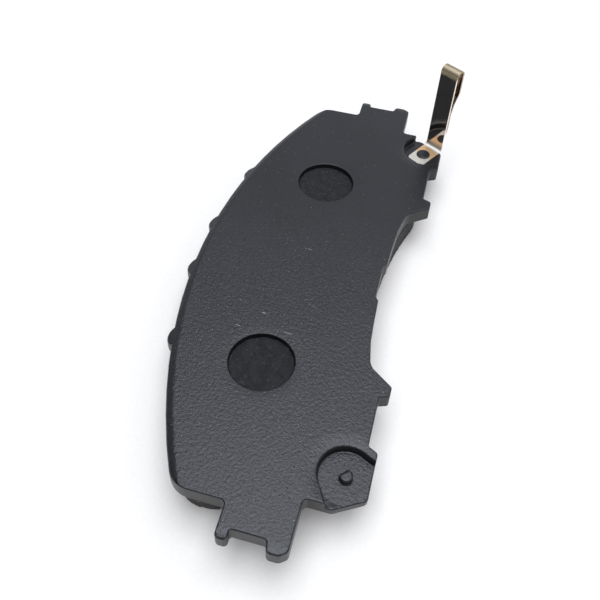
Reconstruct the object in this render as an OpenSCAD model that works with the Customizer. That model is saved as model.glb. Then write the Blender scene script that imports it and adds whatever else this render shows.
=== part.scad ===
// Disc brake pad lying on its friction face, steel back upwards, with a riveted wear indicator.
// Millimetres. X runs along the pad, +Y is away from the disc's centre, +Z is away from the disc.
// The origin is on the friction face, midway between the two round plugs of the plate.

/* [Steel back plate] */
// Thickness of the steel back plate
plate_t = 5.5; // [4.5:0.1:7]
// Outer edge: radius of the arc
edge_r = 173; // [165:1:180]
// Outer edge: distance of the arc's centre below the origin
edge_centre = 140; // [135:1:146]
// Width of the sloping band inside the outer arc
band_w = 2; // [1:0.1:3]
// Fall of the sloping band at the arc
band_drop = 1; // [0.4:0.1:1.6]
// Shoulder, where the outer arc ends
shoulder_x = 83; // [81:0.5:85]
// Radius of the corner between the outer arc and the shoulder
shoulder_r = 7.5; // [1:0.5:9]
// Small locating nubs on the outer arc, distances from the middle
nubs_x = [10.5, 38.5];
// Radius of a nub
nub_r = 4; // [3:0.5:5]
// How far a nub stands out of the arc
nub_h = 1.7; // [0.8:0.1:2.2]

/* [Round holes filled with friction material] */
// Radius of a hole
hole_r = 10; // [7:0.5:12]
// Distance of a hole from the middle
hole_x = 40.3; // [36:0.1:46]
// Depth of the moulded plug below the back of the plate
plug_recess = 1.2; // [0.4:0.1:2.5]

/* [Corner pockets] */
// Depth of the stamped pockets
pocket_depth = 2.75; // [2:0.05:3.2]
// Radius of a pocket's round end
pocket_r = 7.75; // [7:0.25:8]
// Pocket on the -X side: centre
pocket_near = [-67.5, -31.7];
// Pocket on the +X side: centre, under the wear indicator
pocket_far = [68.8, -32];
// Direction in which a pocket opens, degrees below the pad's length
pocket_tilt = 29.6; // [28:0.2:31]
// Radius of the pip formed in the plate
pip_r = 1.95; // [1.5:0.05:2.2]
// Height of the unused pip
pip_h = 1.9; // [1:0.1:2.4]

/* [Wear indicator] */
// Thickness of the spring strip
strip_t = 0.7; // [0.5:0.05:0.9]
// Width of the spring strip
strip_w = 7.2; // [6:0.1:7.6]
// Distance of the upright arm's inner face from the middle, along the strip
arm_s = 82.2; // [82:0.1:82.6]
// Length of the foot beyond the pip, away from the arm
foot_back = 5.5; // [4.5:0.1:5.8]
// Inner radius of the bend at the foot
bend_r = 1.6; // [1.2:0.1:2]
// Height of the hairpin's centre above the friction face
hairpin_z = 48; // [44:0.5:52]
// Inner radius of the hairpin at the top
hairpin_r = 1.6; // [1.2:0.1:2]
// Height at which the return leg starts to swing back to the arm
knuckle_z = 40.4; // [39:0.2:42]
// Height at which the return leg has reached the arm
meet_z = 32; // [30:0.5:34]
// Height at which the return leg starts to narrow
taper_z = 25; // [22:0.5:28]
// Width of the narrow tongue at the bottom of the return leg
tongue_w = 4; // [3:0.1:5]
// Height of the tongue's tip above the friction face
tip_z = 9; // [8:0.2:12]
// Radius of the staked head that holds the foot
head_r = 2.6; // [2.2:0.05:2.8]

/* [Friction material] */
// Thickness of the moulded underlayer
under_t = 2; // [1:0.1:3]
// Thickness of the friction block
block_t = 9.5; // [7:0.1:11]
// Radius of the block's outer arc
block_r = 170.5; // [168:0.1:171]
// Radius of the block's inner arc
inner_r = 129; // [127:1:132]
// Distance of the inner arc's centre below the origin
inner_centre = 156; // [155:0.5:157]
// End of the block
block_x = 81; // [79:0.5:81.5]
// Radius of the corner between the block's outer arc and its end
block_corner_r = 7.5; // [2:0.5:9]
// Height of the sloping cut at each end of the block
cut_h = 3; // [1:0.1:6]
// Length of the sloping cut at each end of the block
cut_l = 13; // [6:0.2:14]
// Width of the slot across the middle of the block
slot_w = 2.5; // [1.5:0.1:4]
// Depth of the slot
slot_d = 8.5; // [3:0.5:9]

/* [Hidden] */
$fn = 96;

eps = 0.01;
plate_z = block_t + under_t;
back_z = plate_z + plate_t;
floor_z = back_z - pocket_depth;
foot_z = floor_z + strip_t;
strip_gap = 0.15;
joint_gap = 0.1;
// The strip's own axes: s along the foot, w across it.
s_axis = [cos(pocket_tilt), -sin(pocket_tilt)];
w_axis = [sin(pocket_tilt), cos(pocket_tilt)];
// The pocket's straight walls run just inside its round end's tangents.
mouth_r = pocket_r - 0.15;
wall_dir = [-cos(22), -sin(22)];
pip_s = pocket_far * s_axis;
pip_w = pocket_far * w_axis;
mid_r = bend_r + strip_t / 2;
bend_s = arm_s - bend_r;
bend_z = foot_z + bend_r;
top_s = arm_s + hairpin_r + strip_t;

// Point on a circle.
function on_circle(c, r, a) = [c[0] + r * cos(a), c[1] + r * sin(a)];
function arc(c, r, a0, a1, n) = [for (i = [0:n]) on_circle(c, r, a0 + (a1 - a0) * i / n)];
function unit(v) = v / norm(v);

// Round of radius r at the corner b between a and c.
function round_at(a, b, c, r) =
    let (u = unit(a - b), v = unit(c - b), half = acos(max(-1, min(1, u * v))) / 2,
         m = b + unit(u + v) * r / sin(half), side = -sign(u[0] * v[1] - u[1] * v[0]),
         d = -unit(u + v), a_mid = atan2(d[1], d[0]), span = 90 - half, n = max(2, ceil(span / 9)))
    [for (i = [-n:n]) on_circle(m, r, a_mid + side * span * i / n)];

// Outline from corners [x, y, radius]; radius 0 keeps the point.
function xy(p) = [p[0], p[1]];
function outline(p) = [for (i = [0:len(p) - 1])
    let (a = p[(i + len(p) - 1) % len(p)], b = p[i], c = p[(i + 1) % len(p)])
    each (b[2] == 0 ? [xy(b)] : round_at(xy(a), xy(b), xy(c), b[2]))];

function mirrored(p) = [for (i = [len(p) - 1:-1:0]) [-p[i][0], p[i][1], p[i][2]]];

// Height of an arc of radius r about [0, -c] at x.
function arc_y(r, c, x) = sqrt(r * r - x * x) - c;

// Right half of the plate's outline, from the top of the outer arc round to the inner edge.
outer_arc = [for (x = [0:8:72]) [x, arc_y(edge_r, edge_centre, x), 0]];
half_plate = concat(outer_arc, [
    // shoulder
    [shoulder_x, arc_y(edge_r, edge_centre, shoulder_x), shoulder_r],
    [shoulder_x, -3.3, 1.5],
    // ear: small prong, notch, large prong
    [92.5, -3.3, 1.3],
    [92.5, -6.7, 1.1],
    [89.7, -6.7, 0.8],
    [89.7, -16.4, 1],
    [92.8, -16.9, 1.4],
    [92.8, -20.4, 2.2],
    [91.2, -22.5, 1.5],
    [77, -22.5, 1.5],
    // pocket boss with its slanting end
    [77, -30.2, 2.2],
    [72.1, -38.7, 1.7],
    [59.4, -38.7, 1.3],
    [58, -35.8, 0.8],
    // lug
    [42.4, -35.8, 0.6],
    [41.4, -38.7, 0.9],
    [38.1, -38.7, 0.9],
    [32.6, -31.2, 5],
    // inner edge with the step at its middle
    [24, -29.7, 0],
    [16, -29.2, 0],
    [8, -28.9, 0.7],
    [6.6, -27.8, 0.5]
]);

// Right half of the friction block's outline.
block_half = concat([for (x = [0:8:72]) [x, arc_y(block_r, edge_centre, x), 0]], [
    [block_x, arc_y(block_r, edge_centre, block_x), block_corner_r],
    [block_x, 1, 4],
    [block_x - 35.2 * tan(pocket_tilt), -34.2, 3],
    [42.3, -34.2, 6]],
    [for (x = [35:-7:7]) [x, arc_y(inner_r, inner_centre, x), 0]]);

// Drops the repeated middle point when the two halves join.
function whole(half) = concat(half, [for (p = mirrored(half)) if (p[0] < -eps) p]);

module plate_shape() {
    polygon(outline(whole(half_plate)));
    for (side = [-1, 1]) {
        for (x = nubs_x) {
            a = asin(x / edge_r);
            translate([0, -edge_centre]) rotate(-side * a)
                translate([0, edge_r + nub_h - nub_r]) circle(r = nub_r);
        }
    }
}

// Pocket, open towards the boss's slanting end and inner edge; side is 1 for +X.
module pocket(centre, side) {
    translate([centre[0], centre[1], floor_z]) mirror([side < 0 ? 1 : 0, 0, 0]) {
        cylinder(r = pocket_r, h = pocket_depth + 1);
        linear_extrude(height = pocket_depth + 1) polygon([
            mouth_r * w_axis,
            mouth_r * w_axis + 16 * s_axis,
            [14, -20],
            [0, -20],
            mouth_r * wall_dir + 9 * [-wall_dir[1], wall_dir[0]],
            mouth_r * wall_dir
        ]);
    }
}

// Blind dimple left under the plate where a pip was pushed up.
module dimple(centre) {
    translate([centre[0], centre[1], plate_z - 1]) cylinder(r = pip_r - 0.1, h = 2.7, $fn = 48);
}

module backing_plate() {
    color([0.12, 0.12, 0.13]) {
        difference() {
            translate([0, 0, plate_z]) linear_extrude(height = plate_t) plate_shape();
            for (side = [-1, 1]) {
                translate([side * hole_x, 0, plate_z - 1]) cylinder(r = hole_r, h = plate_t + 2);
            }
            // sloping band along the outer arc, running out over the nubs
            translate([0, -edge_centre, 0]) rotate_extrude($fn = 720) polygon([
                [edge_r - band_w, back_z],
                [edge_r - band_w + 12, back_z - 12 * band_drop / band_w],
                [edge_r - band_w + 12, back_z + 1],
                [edge_r - band_w, back_z + 1]
            ]);
            pocket(pocket_near, -1);
            pocket(pocket_far, 1);
            dimple(pocket_near);
            dimple(pocket_far);
        }
        // unused pip, flattened on one side
        translate([pocket_near[0], pocket_near[1], floor_z - 0.4]) difference() {
            cylinder(r = pip_r, h = pip_h + 0.4, $fn = 48);
            rotate(45) translate([1.2, -3, 0.4]) cube([3, 6, pip_h + 1]);
        }
        // pip staked over the foot of the wear indicator
        translate([pocket_far[0], pocket_far[1], floor_z - 0.4]) {
            cylinder(r = pip_r, h = strip_t + 0.6, $fn = 48);
            translate([0, 0, strip_t + 0.4]) cylinder(r1 = head_r, r2 = head_r - 0.25, h = 0.45, $fn = 48);
        }
    }
}

module block_shape() {
    polygon(outline(whole(block_half)));
}

module underlayer() {
    color([0.2, 0.19, 0.18]) {
        translate([0, 0, block_t]) linear_extrude(height = under_t) block_shape();
        for (side = [-1, 1]) {
            translate([side * hole_x, 0, plate_z - 0.5])
                cylinder(r = hole_r - 0.05, h = plate_t - plug_recess + 0.5);
        }
    }
}

module friction_block() {
    color([0.27, 0.26, 0.25]) difference() {
        linear_extrude(height = block_t) block_shape();
        translate([-slot_w / 2, -60, -1]) cube([slot_w, 120, slot_d + 1]);
        for (side = [-1, 1]) mirror([side < 0 ? 1 : 0, 0, 0]) rotate(-pocket_tilt)
            translate([block_x * cos(pocket_tilt) - cut_l, -100, 0]) rotate([0, -atan(cut_h / cut_l), 0])
                translate([0, 0, -20]) cube([40, 200, 20]);
    }
}

// Turns a profile drawn as [s, z] into a strip of width w centred on the pip.
module strip(w) {
    rotate(-pocket_tilt) translate([0, pip_w + w / 2, 0]) rotate([90, 0, 0])
        linear_extrude(height = w) children();
}

module indicator_foot() {
    color([0.8, 0.77, 0.7]) difference() {
        intersection() {
            strip(strip_w) union() {
                translate([pip_s - foot_back, floor_z]) square([foot_back + bend_s - pip_s, strip_t]);
                polygon(concat(
                    arc([bend_s, bend_z], bend_r + strip_t, -90, -46.5, 8),
                    arc([bend_s, bend_z], bend_r, -46.5, -90, 8)));
            }
            // rounded corners at the free end
            rotate(-pocket_tilt) translate([0, 0, floor_z - 1]) linear_extrude(height = 6) polygon(outline([
                [pip_s - foot_back, pip_w - strip_w / 2, 1.4],
                [pip_s + 12, pip_w - strip_w / 2, 0],
                [pip_s + 12, pip_w + strip_w / 2, 0],
                [pip_s - foot_back, pip_w + strip_w / 2, 1.4]]));
        }
        translate([pocket_far[0], pocket_far[1], floor_z - 1]) cylinder(r = pip_r + 0.15, h = 3, $fn = 48);
    }
}

module indicator_arm() {
    color([0.8, 0.77, 0.7]) strip(strip_w) polygon(concat(
        arc([bend_s, bend_z], bend_r + strip_t, -43.5, 0, 8),
        arc([top_s, hairpin_z], hairpin_r, 180, 90 + joint_gap * 20, 10),
        arc([top_s, hairpin_z], hairpin_r + strip_t, 90 + joint_gap * 14, 180, 10),
        arc([bend_s, bend_z], bend_r, 0, -43.5, 8)));
}

// Inner face of the return leg, from the hairpin down to the tongue's tip.
leg_in = arm_s + strip_t + strip_gap;
wide_in = top_s + hairpin_r;
leg_face = [[wide_in, knuckle_z, 2.2], [leg_in + 0.9, knuckle_z - 4.2, 2.5], [leg_in, meet_z, 8]];

function leg_side(off) = outline(concat(
    [[wide_in + off, hairpin_z, 0]],
    [for (p = leg_face) [p[0] + off, p[1] - off * 0.3, p[2]]],
    [[leg_in + off, tip_z, 0]]));

module indicator_leg() {
    color([0.8, 0.77, 0.7]) intersection() {
        strip(strip_w) polygon(concat(
            arc([top_s, hairpin_z], hairpin_r + strip_t, 90 - joint_gap * 14, 0, 10),
            leg_side(strip_t),
            [for (i = [len(leg_side(0)) - 1:-1:0]) leg_side(0)[i]],
            arc([top_s, hairpin_z], hairpin_r, 0, 90 - joint_gap * 20, 10)));
        // outline seen square on: full width, then narrowing to the tongue
        rotate(-pocket_tilt) translate([arm_s - 5, pip_w, 0]) rotate([90, 0, 90]) linear_extrude(height = 20)
            polygon(outline([
                [-strip_w / 2, 60, 0],
                [-strip_w / 2, taper_z, 4],
                [-tongue_w / 2, taper_z - 9, 4],
                [-tongue_w / 2, tip_z, 1],
                [tongue_w / 2, tip_z, 1],
                [tongue_w / 2, taper_z - 9, 4],
                [strip_w / 2, taper_z, 4],
                [strip_w / 2, 60, 0]]));
    }
}

backing_plate();
underlayer();
friction_block();
indicator_foot();
indicator_arm();
indicator_leg();
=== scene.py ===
"""Disc brake pad on its friction face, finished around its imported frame. Metres, +Z up."""

import math

import bmesh
import bpy
from mathutils import Matrix, Vector, noise


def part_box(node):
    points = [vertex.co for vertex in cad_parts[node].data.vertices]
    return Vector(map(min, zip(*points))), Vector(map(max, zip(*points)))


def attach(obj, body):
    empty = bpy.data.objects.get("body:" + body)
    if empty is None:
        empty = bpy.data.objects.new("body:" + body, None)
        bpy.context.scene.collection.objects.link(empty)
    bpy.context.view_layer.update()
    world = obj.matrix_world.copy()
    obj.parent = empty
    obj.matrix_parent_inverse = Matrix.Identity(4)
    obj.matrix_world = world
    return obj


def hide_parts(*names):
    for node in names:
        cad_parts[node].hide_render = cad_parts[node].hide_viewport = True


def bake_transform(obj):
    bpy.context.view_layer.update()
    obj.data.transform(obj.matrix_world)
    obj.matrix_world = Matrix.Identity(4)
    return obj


MM = 0.001

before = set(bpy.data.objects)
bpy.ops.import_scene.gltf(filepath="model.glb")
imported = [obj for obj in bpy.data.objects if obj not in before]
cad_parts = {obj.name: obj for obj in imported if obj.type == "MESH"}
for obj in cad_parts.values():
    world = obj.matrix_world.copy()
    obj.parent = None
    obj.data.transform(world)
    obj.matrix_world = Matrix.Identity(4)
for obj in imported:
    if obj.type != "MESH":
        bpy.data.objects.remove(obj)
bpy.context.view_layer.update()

# ---------------------------------------------------------------- places taken from the frame

PLATE_LOW, PLATE_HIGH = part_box("backing_plate")
UNDER_LOW, UNDER_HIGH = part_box("underlayer")
LEG_LOW, LEG_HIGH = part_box("indicator_leg")

PLATE_Z = PLATE_LOW.z
BACK_Z = PLATE_HIGH.z
POCKET_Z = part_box("indicator_foot")[0].z
PLUG_Z = UNDER_HIGH.z
HOLE_X = 40.3 * MM
HOLE_R = 10 * MM
POCKET_NEAR = Vector((-67.5, -31.7, 0)) * MM
POCKET_FAR = Vector((68.8, -32, 0)) * MM

# The wear indicator's strip: s runs along its foot, w across it.
STRIP_TILT = math.radians(29.6)
STRIP_S = Vector((math.cos(STRIP_TILT), -math.sin(STRIP_TILT), 0))
STRIP_W = Vector((math.sin(STRIP_TILT), math.cos(STRIP_TILT), 0))
PIP_W = POCKET_FAR.dot(STRIP_W)
PIP_S = POCKET_FAR.dot(STRIP_S)
STRIP_T = 0.7 * MM
STRIP_WIDTH = 7.2 * MM
TONGUE_WIDTH = 4 * MM
FOOT_BACK = 5.5 * MM
FOOT_CORNER = 1.4 * MM
TIP_ROUND = 1 * MM
TAPER_Z = 25 * MM
TAPER_LENGTH = 9 * MM
BEND_R = 1.6 * MM
ARM_S = 82.2 * MM
HAIRPIN_Z = LEG_HIGH.z - BEND_R - STRIP_T
# Height at which the strip's two visual pieces meet, in its straight arm.
SEAM_Z = 31 * MM


# ---------------------------------------------------------------- camera, floor and light

CAM_PLACE = Vector((-156.8, -36.4, 202.6)) * MM
CAM_AZIMUTH = 13.12
CAM_ELEVATION = 47.41
CAM_ROLL = 2.66
CAM_LENS = 44.63
CAM_SHIFT = (0.0039, -0.099)
BRIGHT_SIDE = (0.8, -0.55, 0.1)
BRIGHT_LEVEL = 0.95
DIM_LEVEL = 0.18
COOL_WHITE = (0.93, 0.97, 1.07, 1)


def aim(azimuth, elevation, roll):
    """Axes of a camera that looks along a compass direction, down by an elevation, turned by a roll."""
    a, e = math.radians(azimuth), math.radians(elevation)
    forward = Vector((math.cos(e) * math.cos(a), math.cos(e) * math.sin(a), -math.sin(e)))
    level = forward.cross(Vector((0, 0, 1))).normalized()
    upright = level.cross(forward)
    r = math.radians(roll)
    right = level * math.cos(r) + upright * math.sin(r)
    return right, right.cross(forward), -forward


def add_camera():
    data = bpy.data.cameras.new("studio_camera")
    camera = bpy.data.objects.new("studio_camera", data)
    bpy.context.scene.collection.objects.link(camera)
    turned = Matrix(aim(CAM_AZIMUTH, CAM_ELEVATION, CAM_ROLL)).transposed()
    camera.matrix_world = Matrix.Translation(CAM_PLACE) @ turned.to_4x4()
    data.lens = CAM_LENS
    data.sensor_width = 36
    data.shift_x, data.shift_y = CAM_SHIFT
    data.clip_start = 0.01
    bpy.context.scene.camera = camera


def add_softbox(name, place, target, size, power):
    data = bpy.data.lights.new(name, "AREA")
    data.shape = "RECTANGLE"
    data.size, data.size_y = size
    data.energy = power
    data.color = COOL_WHITE[:3]
    lamp = bpy.data.objects.new(name, data)
    bpy.context.scene.collection.objects.link(lamp)
    facing = (Vector(place) - Vector(target)).to_track_quat("Z", "Y")
    lamp.matrix_world = Matrix.Translation(place) @ facing.to_matrix().to_4x4()


def add_studio():
    """A room that is brighter on the far, inner-edge side, with a softbox overhead."""
    world = bpy.data.worlds.new("studio_air")
    world.use_nodes = True
    tree = world.node_tree
    air = tree.nodes["Background"]
    look = tree.nodes.new("ShaderNodeTexCoord")
    toward = tree.nodes.new("ShaderNodeVectorMath")
    toward.operation = "DOT_PRODUCT"
    toward.inputs[1].default_value = Vector(BRIGHT_SIDE).normalized()
    level = tree.nodes.new("ShaderNodeMapRange")
    level.inputs["From Min"].default_value = -0.6
    level.inputs["To Min"].default_value = DIM_LEVEL
    level.inputs["To Max"].default_value = BRIGHT_LEVEL
    tree.links.new(look.outputs["Generated"], toward.inputs[0])
    tree.links.new(toward.outputs["Value"], level.inputs["Value"])
    tree.links.new(level.outputs["Result"], air.inputs["Strength"])
    air.inputs["Color"].default_value = COOL_WHITE
    bpy.context.scene.world = world
    bpy.context.scene.view_settings.view_transform = "Standard"
    add_softbox("top_box", (-0.2, 0, 1.24), (-0.1, 0, 0), (1.0, 1.6), 19.5)


# ---------------------------------------------------------------- shader sums

class Signal:
    """A shader socket that takes part in Python sums."""

    def __init__(self, finish, socket):
        self.finish = finish
        self.socket = socket

    def joined(self, operation, left, right):
        return self.finish.node("ShaderNodeMath", {"operation": operation}, {0: left, 1: right})

    def __add__(self, other):
        return self.joined("ADD", self, other)

    def __radd__(self, other):
        return self.joined("ADD", other, self)

    def __sub__(self, other):
        return self.joined("SUBTRACT", self, other)

    def __rsub__(self, other):
        return self.joined("SUBTRACT", other, self)

    def __mul__(self, other):
        return self.joined("MULTIPLY", self, other)

    def __rmul__(self, other):
        return self.joined("MULTIPLY", other, self)

    def __gt__(self, other):
        return self.joined("GREATER_THAN", self, other)

    def rise(self, low, high):
        """0 below low, 1 above high, smooth between."""
        settings = {"interpolation_type": "SMOOTHSTEP"}
        return self.finish.node("ShaderNodeMapRange", settings, {0: self, 1: low, 2: high})


class Finish:
    """A procedural material under construction."""

    def __init__(self, name):
        self.material = bpy.data.materials.new(name)
        self.material.use_nodes = True
        self.tree = self.material.node_tree
        self.shader = self.tree.nodes["Principled BSDF"]
        self.place = self.node("ShaderNodeTexCoord", out="Object")

    def node(self, kind, settings=None, inputs=None, out=0):
        made = self.tree.nodes.new(kind)
        for name, value in (settings or {}).items():
            setattr(made, name, value)
        for name, value in (inputs or {}).items():
            if isinstance(value, Signal):
                self.tree.links.new(value.socket, made.inputs[name])
            else:
                made.inputs[name].default_value = value
        return Signal(self, made.outputs[out])

    def scaled(self, scale, turn=0):
        """The place stretched by a scale for each axis, after a turn about Z."""
        return self.node("ShaderNodeMapping", None,
                         {"Vector": self.place, "Scale": scale, "Rotation": (0, 0, turn)})

    def grain(self, scale, detail=2, roughness=0.5, vector=None, distortion=0):
        return self.node("ShaderNodeTexNoise", None, {
            "Vector": vector or self.place, "Scale": scale, "Detail": detail,
            "Roughness": roughness, "Distortion": distortion})

    def cells(self, scale, out="Distance", vector=None, settings=None):
        return self.node("ShaderNodeTexVoronoi", settings,
                         {"Vector": vector or self.place, "Scale": scale}, out)

    def axis(self, name, source="Object"):
        """One coordinate of the place, or of the surface's normal."""
        vector = self.place
        if source == "Normal":
            vector = self.node("ShaderNodeNewGeometry", out="Normal")
        return self.node("ShaderNodeSeparateXYZ", None, {0: vector}, name)

    def mix(self, factor, a, b):
        def colour(value):
            return value if isinstance(value, Signal) else (*value, 1)
        return self.node("ShaderNodeMix", {"data_type": "RGBA"},
                         {0: factor, 6: colour(a), 7: colour(b)}, 2)

    def bump(self, height, distance, strength=1, below=None):
        inputs = {"Height": height, "Distance": distance, "Strength": strength}
        if below:
            inputs["Normal"] = below
        return self.node("ShaderNodeBump", None, inputs)

    def finish(self, **inputs):
        """Puts values and links on the shader's sockets, named with underscores."""
        for name, value in inputs.items():
            socket = self.shader.inputs[name.replace("_", " ")]
            if isinstance(value, Signal):
                self.tree.links.new(value.socket, socket)
            else:
                socket.default_value = (*value, 1) if isinstance(value, tuple) else value
        return self.material


# ---------------------------------------------------------------- finishes

# Handling marks on the back plate, in millimetres: start, end and half width.
SCRATCHES = [((-15.5, -7.7), (-16.9, -10.9), 0.09),
             ((6.8, -0.9), (6.6, -3.9), 0.16),
             ((-23.0, 4.9), (-23.1, 3.1), 0.28),
             ((-20.3, 13.5), (-20.2, 11.3), 0.12),
             ((-28.3, -3.2), (-28.5, -6.0), 0.16),
             ((-29.7, 11.3), (-29.9, 10.0), 0.14)]


def stroke(coat, x, y, start, end, half_width):
    """1 along a straight mark on the plate, 0 beside it; x and y are in millimetres."""
    along = Vector(end) - Vector(start)
    share = along / along.length_squared
    reach = (x - start[0]) * share.x + (y - start[1]) * share.y
    reach = coat.node("ShaderNodeClamp", None, {0: reach})
    aside = x - start[0] - reach * along.x
    down = y - start[1] - reach * along.y
    return 1 - (aside * aside + down * down).rise(0, half_width * half_width)


def drawn_in(coat, x, y, centre, inner, width):
    """Rises from 0 at a stamped rim to 1, ever flatter, over a width; all in millimetres."""
    aside = x - centre.x / MM
    down = y - centre.y / MM
    far = coat.node("ShaderNodeMath", {"operation": "SQRT"}, {0: aside * aside + down * down})
    t = coat.node("ShaderNodeMapRange", None, {0: far, 1: inner, 2: inner + width})
    return t * (2 - t)


def powder_coat():
    """Black powder coat on stamped steel: fine orange peel, painted sparkle highlights that fade
    towards the far end, dust, sheared side walls.
    """
    coat = Finish("powder_coat")
    x = coat.axis("X") * 1000
    y = coat.axis("Y") * 1000
    up = coat.axis("Z", "Normal").rise(0.35, 0.8)
    # Painted sheen falloff: 1 at the near end, 0.25 at the far end; it thins the painted sparkle
    # highlights and the peel bump towards the far end.
    sparkle_fade = 1 - x.rise(-10, 75) * 0.75
    patches = coat.grain(38, 3, 0.6)
    peel = coat.grain(1000, 2, 0.5)
    fine = coat.grain(2400, 2, 0.6)
    shear = coat.grain(1, 3, 0.6, coat.scaled((160, 160, 5200)))
    base = coat.mix(patches.rise(0.3, 0.7), (0.0045, 0.0048, 0.0056), (0.0068, 0.0072, 0.0083))
    # Fine bright specks are painted sparkle highlights: the base colour is lightened where the fine
    # grain peaks.
    base = coat.mix(fine.rise(0.54, 0.7) * sparkle_fade, base, (0.026, 0.0265, 0.028))
    wall = coat.mix(shear.rise(0.35, 0.7), (0.0045, 0.0047, 0.0054), (0.011, 0.0113, 0.0122))
    base = coat.mix(up, wall, base)
    flat = {"voronoi_dimensions": "2D"}
    speck = coat.cells(420, "Distance", None, flat)
    chance = coat.cells(420, "Color", None, flat)
    rare = coat.node("ShaderNodeSeparateColor", None, {0: chance}, "Red") > 0.93
    dust = (1 - speck.rise(0.025, 0.07)) * rare * up * 0.45
    base = coat.mix(dust, base, (0.42, 0.40, 0.35))
    worn = coat.grain(1400, 2, 0.7).rise(0.44, 0.58) * up * 0.6
    for start, end, half_width in SCRATCHES:
        base = coat.mix(stroke(coat, x, y, start, end, half_width) * worn, base, (0.32, 0.31, 0.27))
    rough = 0.23 + peel * 0.08 + patches * 0.05 + (1 - up) * 0.1
    sink = (drawn_in(coat, x, y, POCKET_NEAR, 7.7, 5) + drawn_in(coat, x, y, POCKET_FAR, 7.7, 4)
            + drawn_in(coat, x, y, Vector((-HOLE_X, 0)), 10, 4) * 0.3
            + drawn_in(coat, x, y, Vector((HOLE_X, 0)), 10, 4) * 0.3)
    relief = coat.bump(sink, 0.0004, 1)
    relief = coat.bump((peel * 0.8 + fine * 0.55) * up * sparkle_fade, 0.0003, 0.6, relief)
    relief = coat.bump(shear * (1 - up), 0.00008, 0.6, relief)
    return coat.finish(Base_Color=base, Roughness=rough, Normal=relief, IOR=1.5)


def friction_mix(name, dark, light, glint):
    """Moulded friction material: dark resin with grit, fibres and a few brassy flakes."""
    mix = Finish(name)
    clumps = mix.grain(320, 4, 0.65)
    grit = mix.cells(1300)
    sand = mix.grain(2200, 3, 0.7)
    shade = mix.mix(clumps.rise(0.38, 0.62) * 0.5 + sand.rise(0.46, 0.62) * 0.5, dark, light)
    pick = mix.node("ShaderNodeSeparateColor", None, {0: mix.cells(900, "Color")}, "Red")
    flake = (pick > 0.972) * (1 - mix.cells(900).rise(0.25, 0.42))
    shade = mix.mix(flake * glint, shade, (0.30, 0.24, 0.15))
    pale = mix.node("ShaderNodeSeparateColor", None, {0: mix.cells(1500, "Color")}, "Green")
    shade = mix.mix((pale > 0.96) * (glint * 0.5), shade, (0.16, 0.155, 0.15))
    relief = mix.bump(grit * 0.7 + clumps + sand * 0.6, 0.0004, 1)
    return mix.finish(Base_Color=shade, Roughness=0.8 + clumps * 0.12, Normal=relief,
                      Metallic=flake * glint)


# Attribute in which a strip keeps its place at rest, so that its tints stay put if the mesh is
# deformed.
REST_PLACE = "rest_place"


def spring_steel():
    """Bright rolled spring strip with a straw tint where it was bent and staked, and painted shade on
    its return leg.
    """
    steel = Finish("spring_steel")
    steel.place = steel.node("ShaderNodeAttribute", {"attribute_name": REST_PLACE}, None, "Vector")
    along = steel.scaled((180, 5200, 120), -STRIP_TILT)
    lines = steel.grain(1, 3, 0.6, along)
    cloud = steel.grain(260, 2, 0.5)
    tone = steel.mix(cloud.rise(0.3, 0.7), (0.62, 0.58, 0.50), (0.70, 0.66, 0.58))
    height = steel.axis("Z") * 1000
    reach = steel.node("ShaderNodeVectorMath", {"operation": "DOT_PRODUCT"},
                       {0: steel.place, 1: STRIP_S}, "Value") * 1000
    pip = PIP_S / MM
    arm = ARM_S / MM
    # The return leg starts just past the arm's thickness and gets a darker tone as painted shade; the
    # tints have cloudy edges.
    leg = reach.rise(arm + 0.74, arm + 0.82) * (1 - height.rise(46.5, 48))
    reach = reach + (cloud - 0.5) * 1.6
    staked = reach.rise(pip - 0.7, pip + 0.5) * (1 - reach.rise(arm - 2.4, arm - 1.6))
    crest = height.rise(47.7, 48.3)
    faint = height.rise(16, 19) * (1 - reach.rise(arm + 1, arm + 2)) * 0.25
    tint = staked * 0.85 + crest * 0.75 + faint
    tone = steel.mix(tint, tone, (0.72, 0.46, 0.21))
    bend = height.rise(15.3, 16.5)
    flat_arm = height.rise(16.8, 18) * (1 - height.rise(46.5, 48))
    # The arm is polished, the return leg darker (painted shade standing in for the dim surroundings it
    # reflects) and the crest browned by bending.
    tone = steel.mix(flat_arm * (1 - tint) * (1 - leg), tone, (1.0, 0.90, 0.83))
    # Painted shade: the return leg's darker tone.
    tone = steel.mix(leg, tone, (0.44, 0.38, 0.32))
    tone = steel.mix(crest, tone, (0.36, 0.30, 0.20))
    rough = 0.46 - bend * 0.14 - flat_arm * 0.28 - leg * (1 - flat_arm) * 0.3 + crest * 0.1
    rough = rough + lines * 0.03 + cloud * 0.02
    relief = steel.bump(lines, 0.000006, 0.5)
    return steel.finish(Base_Color=tone, Metallic=1.0, Roughness=rough, Normal=relief)


def studio_floor():
    paper = Finish("studio_paper")
    tooth = paper.grain(900, 2)
    shade = paper.mix(tooth.rise(0.3, 0.7), (0.80, 0.77, 0.71), (0.82, 0.79, 0.73))
    return paper.finish(Base_Color=shade, Roughness=0.9)


# ---------------------------------------------------------------- mesh helpers

def to_object(bm, name, material):
    """A mesh object at the origin from a finished bmesh."""
    mesh = bpy.data.meshes.new(name)
    bm.to_mesh(mesh)
    bm.free()
    made = bpy.data.objects.new(name, mesh)
    bpy.context.scene.collection.objects.link(made)
    mesh.materials.append(material)
    return made


def settled(piece):
    """Applies a piece's modifiers and returns the result as a bmesh; the piece is removed."""
    bpy.context.view_layer.update()
    shown = piece.evaluated_get(bpy.context.evaluated_depsgraph_get())
    bm = bmesh.new()
    bm.from_mesh(shown.to_mesh())
    shown.to_mesh_clear()
    bpy.data.objects.remove(piece)
    return bm


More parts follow.
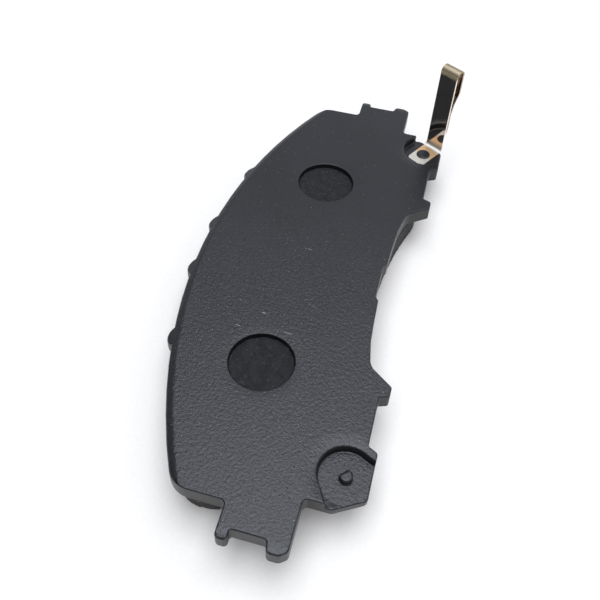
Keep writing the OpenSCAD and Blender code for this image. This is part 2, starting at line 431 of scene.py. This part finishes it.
def smooth(piece, crease=35):
    """Smooth shading in which broad faces stay flat and edges past the crease angle stay sharp."""
    piece.data.shade_smooth()
    piece.data.set_sharp_from_angle(angle=math.radians(crease))
    even = piece.modifiers.new("even_shading", "WEIGHTED_NORMAL")
    even.mode = "FACE_AREA"
    even.weight = 90
    even.keep_sharp = True


def cad_copy(node):
    """A merged copy of a CAD node's mesh with its flat faces whole."""
    bm = bmesh.new()
    bm.from_mesh(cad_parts[node].data)
    bmesh.ops.remove_doubles(bm, verts=bm.verts, dist=0.001 * MM)
    bmesh.ops.dissolve_limit(bm, angle_limit=math.radians(0.5), verts=bm.verts, edges=bm.edges)
    return bm


# ---------------------------------------------------------------- back plate

OUTLINE_ROUND = 0.5 * MM
RIM_ROUND = 0.6 * MM
PIP_ROUND = 0.75 * MM
SMALL_ROUND = 0.25 * MM
FLOOR_FILLET = 0.5 * MM


def level(edge):
    return max(v.co.z for v in edge.verts)


def middle(edge):
    return (edge.verts[0].co + edge.verts[1].co) / 2


def flat_distance(point, centre):
    return math.hypot(point.x - centre.x, point.y - centre.y)


def plate_round(edge):
    """How wide the round on one edge of the back plate is."""
    turn = edge.calc_face_angle_signed(0)
    place = middle(edge)
    if abs(turn) < math.radians(20):
        return 0
    near_pip = min(flat_distance(place, POCKET_NEAR), flat_distance(place, POCKET_FAR)) < 2.7 * MM
    if level(edge) < PLATE_Z + 1 * MM and not near_pip:
        hole = abs(flat_distance(Vector((abs(place.x), place.y, 0)), Vector((HOLE_X, 0, 0))) - HOLE_R)
        return 0 if hole < 0.5 * MM else SMALL_ROUND
    if near_pip:
        high = POCKET_Z + 1.5 * MM
        return PIP_ROUND if place.z > high else SMALL_ROUND * (place.z > POCKET_Z + 0.8 * MM)
    if turn < 0:
        on_floor = abs(level(edge) - POCKET_Z) < 0.05 * MM
        return FLOOR_FILLET if on_floor else 0
    upright = abs(edge.verts[0].co.z - edge.verts[1].co.z) > 1 * MM
    if upright:
        return SMALL_ROUND
    if flat_distance(Vector((abs(place.x), place.y, 0)), Vector((HOLE_X, 0, 0))) < HOLE_R + 0.2 * MM:
        return SMALL_ROUND
    lowest = min(v.co.z for face in edge.link_faces for v in face.verts)
    if lowest > PLATE_Z + 1 * MM:
        return RIM_ROUND
    return OUTLINE_ROUND


def rolled_ends(bm):
    """Bends the prongs' tips down a little, as the blanking die leaves them."""
    root, tip = 89.4 * MM, 92.8 * MM
    cuts = [root + (tip - root) * i / 8 for i in range(8)]
    for side in (-1, 1):
        for x in cuts:
            bmesh.ops.bisect_plane(bm, geom=bm.verts[:] + bm.edges[:] + bm.faces[:],
                                   plane_co=(side * x, 0, 0), plane_no=(1, 0, 0), dist=1e-7)
    for vert in bm.verts:
        reach = (abs(vert.co.x) - root) / (tip - root)
        if reach > 0:
            height = (vert.co.z - PLATE_Z) / (BACK_Z - PLATE_Z)
            fall = 1.0 if vert.co.y > -12 * MM else 0.5
            vert.co.z -= fall * MM * reach * reach * height


def make_plate(material):
    bm = cad_copy("backing_plate")
    weight = bm.edges.layers.float.new("bevel_weight_edge")
    for edge in bm.edges:
        edge[weight] = plate_round(edge) / PIP_ROUND
    blank = to_object(bm, "plate_blank", material)
    rounds = blank.modifiers.new("rounds", "BEVEL")
    rounds.limit_method = "WEIGHT"
    rounds.offset_type = "OFFSET"
    rounds.width = PIP_ROUND
    rounds.segments = 4
    rounds.use_clamp_overlap = False
    rounds.loop_slide = False
    bm = settled(blank)
    rolled_ends(bm)
    plate = to_object(bm, "steel_back_plate", material)
    smooth(plate)
    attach(plate, "pad")
    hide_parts("backing_plate")


# ---------------------------------------------------------------- friction material

def crumbled(bm, amount, size):
    """Moves the surface in and out by a coarse and a fine grain; size is the coarse grain's."""
    bm.normal_update()
    moves = []
    for vert in bm.verts:
        coarse = noise.noise(vert.co / size)
        fine = noise.noise(vert.co / (0.35 * size) + Vector((7, 3, 1)))
        moves.append(vert.normal * (amount * (0.6 * coarse + 0.4 * fine)))
    for vert, move in zip(bm.verts, moves):
        vert.co += move


def moulded(bm, name, voxel, material):
    """Remeshes a sharp CAD copy into an evenly dense moulding."""
    sharp = to_object(bm, name, material)
    even = sharp.modifiers.new("even_mesh", "REMESH")
    even.mode = "VOXEL"
    even.voxel_size = voxel
    return settled(sharp)


def keep_inside(bm, low, high):
    """Holds a moulding within its CAD box."""
    for vert in bm.verts:
        for i in range(3):
            vert.co[i] = min(max(vert.co[i], low[i]), high[i])


def make_block(material):
    bm = moulded(cad_copy("friction_block"), "block_blank", 0.6 * MM, material)
    crumbled(bm, 0.16 * MM, 1.1 * MM)
    keep_inside(bm, *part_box("friction_block"))
    block = to_object(bm, "moulded_friction_block", material)
    smooth(block)
    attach(block, "pad")
    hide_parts("friction_block")


def make_underlayer(material):
    bm = cad_copy("underlayer")
    cut = bmesh.ops.bisect_plane(bm, geom=bm.verts[:] + bm.edges[:] + bm.faces[:], clear_outer=True,
                                 plane_co=(0, 0, PLATE_Z), plane_no=(0, 0, 1), dist=1e-7)
    rims = [e for e in cut["geom_cut"] if isinstance(e, bmesh.types.BMEdge) and e.is_boundary]
    bmesh.ops.holes_fill(bm, edges=rims)
    bm = moulded(bm, "underlayer_blank", 0.6 * MM, material)
    crumbled(bm, 0.12 * MM, 0.9 * MM)
    keep_inside(bm, UNDER_LOW, Vector((UNDER_HIGH.x, UNDER_HIGH.y, PLATE_Z)))
    layer = to_object(bm, "moulded_underlayer", material)
    smooth(layer)
    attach(layer, "pad")
    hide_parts("underlayer")


def plug_relief(place):
    """Height of the torn, grainy surface where the moulding mass filled a hole."""
    lump = noise.noise(place / (2.6 * MM))
    crumb = noise.noise(place / (0.8 * MM) + Vector((3, 5, 2)))
    pit = noise.noise(place / (0.38 * MM) + Vector((11, 1, 4)))
    return 0.16 * lump + 0.22 * crumb + 0.12 * pit


def make_plug(name, centre, material):
    """Friction material that was pressed up into a round hole of the plate."""
    bm = bmesh.new()
    wall_r = HOLE_R - 0.04 * MM
    rings = 56
    for i in range(rings + 1):
        bm.verts.new((wall_r * i / rings, 0, PLUG_Z))
    bm.verts.ensure_lookup_table()
    radius = [bm.edges.new((bm.verts[i], bm.verts[i + 1])) for i in range(rings)]
    bmesh.ops.spin(bm, geom=bm.verts[:] + radius, cent=(0, 0, 0), axis=(0, 0, 1),
                   angle=math.tau, steps=240, use_merge=True)
    bmesh.ops.remove_doubles(bm, verts=bm.verts, dist=0.001 * MM)
    rim = [e for e in bm.edges if e.is_boundary]
    skirt = bmesh.ops.extrude_edge_only(bm, edges=rim)["geom"]
    low = [v for v in skirt if isinstance(v, bmesh.types.BMVert)]
    for vert in low:
        vert.co.z = PLATE_Z
    bmesh.ops.holes_fill(bm, edges=[e for e in bm.edges if e.is_boundary])
    bmesh.ops.translate(bm, vec=centre, verts=bm.verts)
    for vert in bm.verts:
        if vert.co.z > PLATE_Z + 1 * MM:
            edge_fall = max(0, flat_distance(vert.co, Vector(centre)) / wall_r - 0.93) / 0.07
            vert.co.z += (plug_relief(vert.co) - 0.35 - 0.3 * edge_fall ** 2) * MM
    bmesh.ops.recalc_face_normals(bm, faces=bm.faces)
    plug = to_object(bm, name, material)
    smooth(plug)
    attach(plug, "pad")
    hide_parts("underlayer")


# ---------------------------------------------------------------- wear indicator

class Strip:
    """A flat spring strip, formed by running and bending its end face along s and z."""

    def __init__(self, s, z, heading):
        self.bm = bmesh.new()
        self.place = Vector((s, z))
        self.heading = Vector(heading)
        across = Vector((-self.heading.y, self.heading.x)) * STRIP_T / 2
        half = STRIP_WIDTH / 2
        corners = [(across, half), (across, -half), (-across, -half), (-across, half)]
        verts = [self.bm.verts.new(self.world(self.place + a, w)) for a, w in corners]
        self.bm.faces.new(verts)
        bmesh.ops.bevel(self.bm, geom=verts, offset=0.16 * MM, segments=4, profile=0.5,
                        affect="VERTICES", material=-1)
        self.bm.faces.ensure_lookup_table()
        self.end = self.bm.faces[0]

    def world(self, at, w):
        """Point at s, z, and w from the strip's middle."""
        flat = STRIP_S * at.x + STRIP_W * (PIP_W + w)
        return Vector((flat.x, flat.y, at.y))

    def run(self, length):
        """Extrudes the end face straight on, in short steps."""
        if length < 0.01 * MM:
            return
        steps = max(1, math.ceil(length / (1.2 * MM)))
        step = self.heading * length / steps
        move = STRIP_S * step.x + Vector((0, 0, step.y))
        for _ in range(steps):
            grown = bmesh.ops.extrude_face_region(self.bm, geom=[self.end])["geom"]
            new = [v for v in grown if isinstance(v, bmesh.types.BMVert)]
            bmesh.ops.translate(self.bm, vec=move, verts=new)
            self.end = next(f for f in grown if isinstance(f, bmesh.types.BMFace))
        self.place += self.heading * length

    def bend(self, turn, radius):
        """Spins the end face about the bend's axis; a positive turn goes from s towards z."""
        side = 1 if turn > 0 else -1
        normal = Vector((-self.heading.y, self.heading.x)) * side
        centre = self.place + normal * radius
        steps = max(3, math.ceil(abs(math.degrees(turn)) / 7))
        spun = bmesh.ops.spin(self.bm, geom=[self.end], cent=self.world(centre, 0), axis=-STRIP_W,
                              angle=turn, steps=steps)["geom_last"]
        self.end = next(f for f in spun if isinstance(f, bmesh.types.BMFace))
        c, s = math.cos(turn), math.sin(turn)
        arm = self.place - centre
        self.place = centre + Vector((arm.x * c - arm.y * s, arm.x * s + arm.y * c))
        self.heading = Vector((self.heading.x * c - self.heading.y * s,
                               self.heading.x * s + self.heading.y * c))

    def follow(self, points):
        """Runs along corner points [s, z, radius], with a bend at each but the last."""
        for i, (s, z, radius) in enumerate(points):
            corner = Vector((s, z))
            if i + 1 == len(points):
                self.run((corner - self.place).length)
                return
            out = (Vector(points[i + 1][:2]) - corner).normalized()
            turn = self.heading.angle_signed(out) * -1
            tangent = radius * math.tan(abs(turn) / 2)
            self.run((corner - self.place).length - tangent)
            self.bend(turn, radius)

    def widths(self, half_at):
        """Narrows the strip: half_at gives the half width at a point's s and z."""
        for vert in self.bm.verts:
            w = vert.co.dot(STRIP_W) - PIP_W
            limit = half_at(vert.co.dot(STRIP_S), vert.co.z)
            vert.co += STRIP_W * (w * limit / (STRIP_WIDTH / 2) - w)

    def piece(self, name, material):
        inner = [f for f in self.bm.faces if all(len(e.link_faces) > 2 for e in f.edges)]
        bmesh.ops.delete(self.bm, geom=inner, context="FACES_ONLY")
        bmesh.ops.recalc_face_normals(self.bm, faces=self.bm.faces)
        rest = self.bm.verts.layers.float_vector.new(REST_PLACE)
        for vert in self.bm.verts:
            vert[rest] = vert.co
        made = to_object(self.bm, name, material)
        smooth(made)
        return made


def round_end(half, radius, depth):
    """Half width of a strip's end with round corners, at a depth from the end."""
    inside = max(0, radius - max(0, depth))
    return half - radius + math.sqrt(radius * radius - inside * inside)


def foot_half(s, _z):
    return round_end(STRIP_WIDTH / 2, FOOT_CORNER, s - (PIP_S - FOOT_BACK))


def leg_half(s, z):
    """Full width above, narrowing to the tongue with its round tip."""
    if s < ARM_S + STRIP_T or z > TAPER_Z:
        return STRIP_WIDTH / 2
    t = min(1, (TAPER_Z - z) / TAPER_LENGTH)
    t = t * t * (3 - 2 * t)
    half = STRIP_WIDTH / 2 + (TONGUE_WIDTH - STRIP_WIDTH) / 2 * t
    return half if z > LEG_LOW.z + TIP_ROUND else round_end(half, TIP_ROUND, z - LEG_LOW.z)


def make_indicator(material):
    """The one bent strip, in two pieces that meet in its straight arm."""
    mid = BEND_R + STRIP_T / 2
    foot = Strip(PIP_S - FOOT_BACK, POCKET_Z + STRIP_T / 2, (1, 0))
    for _ in range(7):
        foot.run(0.2 * MM)
    foot.follow([(ARM_S + STRIP_T / 2, POCKET_Z + STRIP_T / 2, mid),
                 (ARM_S + STRIP_T / 2, SEAM_Z, 0)])
    foot.widths(foot_half)
    lower = foot.piece("wear_indicator_foot_and_arm", material)
    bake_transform(lower)
    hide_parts("indicator_foot")

    top_s = ARM_S + STRIP_T / 2
    back_s = top_s + 2 * mid
    crest = HAIRPIN_Z + mid
    leg = Strip(top_s, SEAM_Z, (0, 1))
    leg.follow([(top_s, crest, mid), (back_s, crest, mid),
                (back_s, 40.3 * MM, 2.2 * MM), (84.3 * MM, 36.1 * MM, 2.5 * MM),
                (83.4 * MM, 31.9 * MM, 8 * MM), (83.4 * MM, LEG_LOW.z + TIP_ROUND, 0)])
    for _ in range(5):
        leg.run(0.2 * MM)
    leg.widths(leg_half)
    upper = leg.piece("wear_indicator_hairpin_and_tongue", material)
    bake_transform(upper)
    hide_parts("indicator_arm", "indicator_leg")


# ---------------------------------------------------------------- everything together

def make_floor():
    bm = bmesh.new()
    bmesh.ops.create_grid(bm, x_segments=1, y_segments=1, size=4,
                          matrix=Matrix.Translation((0, 0, -0.02 * MM)))
    to_object(bm, "studio_floor", studio_floor())


add_camera()
add_studio()
make_floor()
coat = powder_coat()
mass = friction_mix("friction_mix", (0.022, 0.0215, 0.021), (0.045, 0.043, 0.041), 0.6)
plug_mass = friction_mix("plug_mix", (0.0015, 0.0015, 0.0018), (0.015, 0.0148, 0.0155), 0.15)
make_plate(coat)
make_block(mass)
make_underlayer(mass)
make_plug("plug_near", (-HOLE_X, 0, 0), plug_mass)
make_plug("plug_far", (HOLE_X, 0, 0), plug_mass)
make_indicator(spring_steel())
